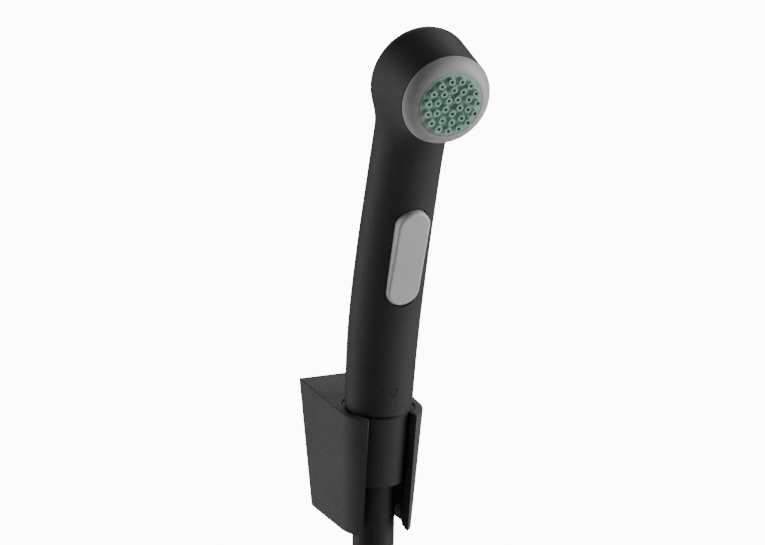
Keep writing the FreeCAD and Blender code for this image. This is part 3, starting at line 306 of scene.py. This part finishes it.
def shell_field(points, inset):
    """Distance from the handset's outer surface, moved in by inset: negative inside."""
    bar = np.full(len(points), 1e9)
    for start, stop, first, last in zip(LINE[:-1], LINE[1:], LINE_RADII[:-1], LINE_RADII[1:]):
        run = stop - start
        part = np.clip((points - start) @ run / (run @ run), 0, 1)
        gap = np.linalg.norm(points - start - part[:, None] * run, axis=1)
        bar = np.minimum(bar, gap - first - (last - first) * part)
    local = (points - HEAD_PLACE) @ HEAD_AXES
    across = np.hypot(local[:, 0], local[:, 1])
    back = -local[:, 2]
    taper = (HEAD_BACK - HEAD_RIM) / HEAD_LENGTH
    side = (across - HEAD_RIM - taper * np.clip(back, -DRUM_LIP, HEAD_LENGTH)) / math.hypot(1, taper)
    deep = np.maximum(back - HEAD_LENGTH, 0)
    first = np.hypot(across / HEAD_BACK, deep / HEAD_DOME)
    second = np.hypot(across / HEAD_BACK**2, deep / HEAD_DOME**2) + 1e-9
    dome = first * (first - 1) / second
    drum = np.where(back > HEAD_LENGTH, dome, side)
    drum = np.maximum(drum, -back - DRUM_LIP)
    mix = np.clip(0.5 + 0.5 * (drum - bar) / NECK_BLEND, 0, 1)
    return drum * (1 - mix) + bar * mix - NECK_BLEND * mix * (1 - mix) + inset


def add_mesh(name, verts, faces):
    mesh = bpy.data.meshes.new(name)
    mesh.from_pydata(verts, [], faces)
    mesh.update()
    item = bpy.data.objects.new(name, mesh)
    bpy.context.collection.objects.link(item)
    return item


def ring_tube(name, rings):
    """Closed tube through rings of equally many points."""
    sides = len(rings[0])
    verts = [tuple(point) for circle in rings for point in circle]
    faces = []
    for number in range(len(rings) - 1):
        for side in range(sides):
            following = (side + 1) % sides
            low = number * sides
            faces.append((low + side, low + following, low + sides + following, low + sides + side))
    faces.append(tuple(reversed(range(sides))))
    faces.append(tuple(range(len(verts) - sides, len(verts))))
    return add_mesh(name, verts, faces)


def rough_shell(inset):
    """Handle and head as two closed tubes, about where the smooth surface is."""
    turns = np.linspace(0, 2 * math.pi, 48, endpoint=False)
    bar = []
    for centre, radius in zip(LINE, LINE_RADII):
        reach = radius - inset
        bar.append([centre + np.array((math.cos(t) * reach, math.sin(t) * reach, 0)) for t in turns])
    drum = []
    stops = [(DRUM_LIP, HEAD_RIM - 0.2), (0, HEAD_RIM), (-HEAD_LENGTH, HEAD_BACK)]
    for rise in (0.3, 0.6, 0.9, 1.2, 1.45):
        stops.append((-HEAD_LENGTH - HEAD_DOME * math.sin(rise), HEAD_BACK * math.cos(rise)))
    for along, radius in stops:
        reach = max(radius - inset, 0.5)
        circle = [(math.cos(t) * reach, math.sin(t) * reach, along) for t in turns]
        drum.append([HEAD_PLACE + HEAD_AXES @ np.array(point) for point in circle])
    pair = [ring_tube("rough_bar", bar), ring_tube("rough_drum", drum)]
    for item in pair:
        tidy = bmesh.new()
        tidy.from_mesh(item.data)
        bmesh.ops.recalc_face_normals(tidy, faces=tidy.faces)
        tidy.to_mesh(item.data)
        tidy.free()
    return pair


def apply_modifiers(item):
    graph = bpy.context.evaluated_depsgraph_get()
    mesh = bpy.data.meshes.new_from_object(item.evaluated_get(graph))
    item.modifiers.clear()
    item.data = mesh


def smooth_shell(name, inset, cell):
    """The shell's surface moved in by inset, as an even mesh in millimetres."""
    bar, drum = rough_shell(inset)
    bpy.ops.object.select_all(action="DESELECT")
    drum.select_set(True)
    bar.select_set(True)
    bpy.context.view_layer.objects.active = bar
    bpy.ops.object.join()
    bar.name = name
    remesh = bar.modifiers.new("even", "REMESH")
    remesh.mode = "VOXEL"
    remesh.voxel_size = cell
    apply_modifiers(bar)
    count = len(bar.data.vertices)
    places = np.empty(count * 3, dtype=np.float32)
    bar.data.vertices.foreach_get("co", places)
    places = places.reshape(-1, 3).astype(float)
    step = 0.02
    for _ in range(6):
        level = shell_field(places, inset)
        slope = np.empty_like(places)
        for axis in range(3):
            shift = np.zeros(3)
            shift[axis] = step
            ahead = shell_field(places + shift, inset)
            slope[:, axis] = (ahead - shell_field(places - shift, inset)) / (2 * step)
        slope /= np.maximum(np.linalg.norm(slope, axis=1), 1e-6)[:, None]
        places -= slope * np.clip(level, -1.5, 1.5)[:, None]
    bar.data.vertices.foreach_set("co", places.astype(np.float32).ravel())
    bar.data.update()
    return bar


def prism(name, outline, bottom, top, place):
    """Upright block from a flat outline, put in a frame. Millimetres, like the shell."""
    count = len(outline)
    verts = [(x, y, bottom) for x, y in outline] + [(x, y, top) for x, y in outline]
    faces = [tuple(reversed(range(count))), tuple(range(count, 2 * count))]
    for number in range(count):
        following = (number + 1) % count
        faces.append((number, following, count + following, count + number))
    item = add_mesh(name, verts, faces)
    scaled = place.copy()
    scaled.translation = place.translation / MM
    item.data.transform(scaled)
    return item


def round_outline(radius, sides=96):
    return [
        (radius * math.cos(2 * math.pi * side / sides), radius * math.sin(2 * math.pi * side / sides))
        for side in range(sides)
    ]


def slot_outline(half_width, top, bottom, sides=32):
    outline = []
    for side in range(sides + 1):
        turn = math.pi * side / sides
        outline.append((half_width * math.cos(turn), top - half_width + half_width * math.sin(turn)))
    for side in range(sides + 1):
        turn = math.pi + math.pi * side / sides
        outline.append((half_width * math.cos(turn), bottom + half_width + half_width * math.sin(turn)))
    return outline


def take_away(item, tool):
    difference = item.modifiers.new("cut", "BOOLEAN")
    difference.operation = "DIFFERENCE"
    difference.solver = "EXACT"
    difference.object = tool
    apply_modifiers(item)
    bpy.data.objects.remove(tool)


def make_handset_body():
    """Handle and head in one smooth skin, with its window, mouth, foot and pin hole."""
    body = smooth_shell("handset_body", 0.0, SKIN_CELL)
    take_away(body, smooth_shell("cavity", WALL, CAVITY_CELL))
    take_away(body, prism("mouth", round_outline(40.0), 0.0, 20.0, HEAD_IN_SEAT))
    take_away(body, prism("foot", round_outline(40.0), -30.0, FOOT_LEVEL, Matrix.Identity(4)))
    window = slot_outline(
        BUTTON_HALF_WIDTH + WINDOW_GAP,
        BUTTON_HALF_LENGTH + WINDOW_TOP_GAP,
        -BUTTON_HALF_LENGTH - WINDOW_GAP,
    )
    take_away(body, prism("window", window, 5.0, 22.0, BUTTON_IN_SEAT))
    front = Matrix.Translation((0, 0, PIN_UP * MM)) @ Matrix.Rotation(math.pi / 2, 4, "X")
    take_away(body, prism("pin_hole", round_outline(PIN_HOLE_RADIUS, 48), 8.0, 20.0, front))
    body.data.transform(SEAT @ Matrix.Scale(MM, 4))
    body.data.polygons.foreach_set("use_smooth", [True] * len(body.data.polygons))
    body.data.set_sharp_from_angle(angle=math.radians(38))
    body.data.materials.clear()
    body.data.materials.append(LOOKS["black_shell"])
    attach(body, "handset")
    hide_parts("handset_shell")


make_handset_body()

# ---------------------------------------------------------------- stage and light


def add_stage():
    """Pale floor below the hanging hose, and a pale room."""
    bottom = -0.36
    size = 1.3
    plan = [(-size, -size), (size, -size), (size, size), (-size, size)]
    corners = [(x, y, bottom) for x, y in plan]
    floor = add_mesh("floor", corners, [(0, 1, 2, 3)])
    look = material("pale_floor", (0.8, 0.8, 0.8), 0.7, spread=0.01, grain=60.0, bump=0.0)
    floor.data.materials.append(look)
    world = bpy.data.worlds.new("room")
    world.use_nodes = True
    bpy.context.scene.world = world
    tree = world.node_tree
    room = tree.nodes["Background"]
    room.inputs["Color"].default_value = (1, 1, 1, 1)
    room.inputs["Strength"].default_value = 0.06
    seen = add_node(tree, "ShaderNodeBackground", Color=(1, 1, 1, 1), Strength=12.0)
    path = tree.nodes.new("ShaderNodeLightPath")
    pick = tree.nodes.new("ShaderNodeMixShader")
    tree.links.new(path.outputs["Is Camera Ray"], pick.inputs[0])
    tree.links.new(room.outputs[0], pick.inputs[1])
    tree.links.new(seen.outputs[0], pick.inputs[2])
    tree.links.new(pick.outputs[0], tree.nodes["World Output"].inputs["Surface"])


def add_light(name, sideways, up, towards, size, radiance):
    """Soft box placed by the camera's axes from the middle of the handset, and facing it."""
    camera = bpy.context.scene.camera.matrix_world.to_3x3()
    middle = Vector((0, -0.06, 0.08))
    place = middle + camera @ Vector((sideways, up, towards))
    light = bpy.data.lights.new(name, "AREA")
    light.shape = "RECTANGLE"
    light.size, light.size_y = size
    light.energy = radiance * math.pi * size[0] * size[1]
    item = bpy.data.objects.new(name, light)
    item.location = place
    item.rotation_euler = (middle - place).to_track_quat("-Z", "Y").to_euler()
    item.visible_camera = False
    bpy.context.collection.objects.link(item)


add_stage()
add_light("left_box", -1.35, 0.0, -0.3, (1.1, 1.6), 2.6)
add_light("right_box", 1.35, 0.1, 0.15, (1.0, 1.6), 4.9)
add_light("back_box", 0.1, 1.0, -1.1, (1.0, 0.6), 2.5)
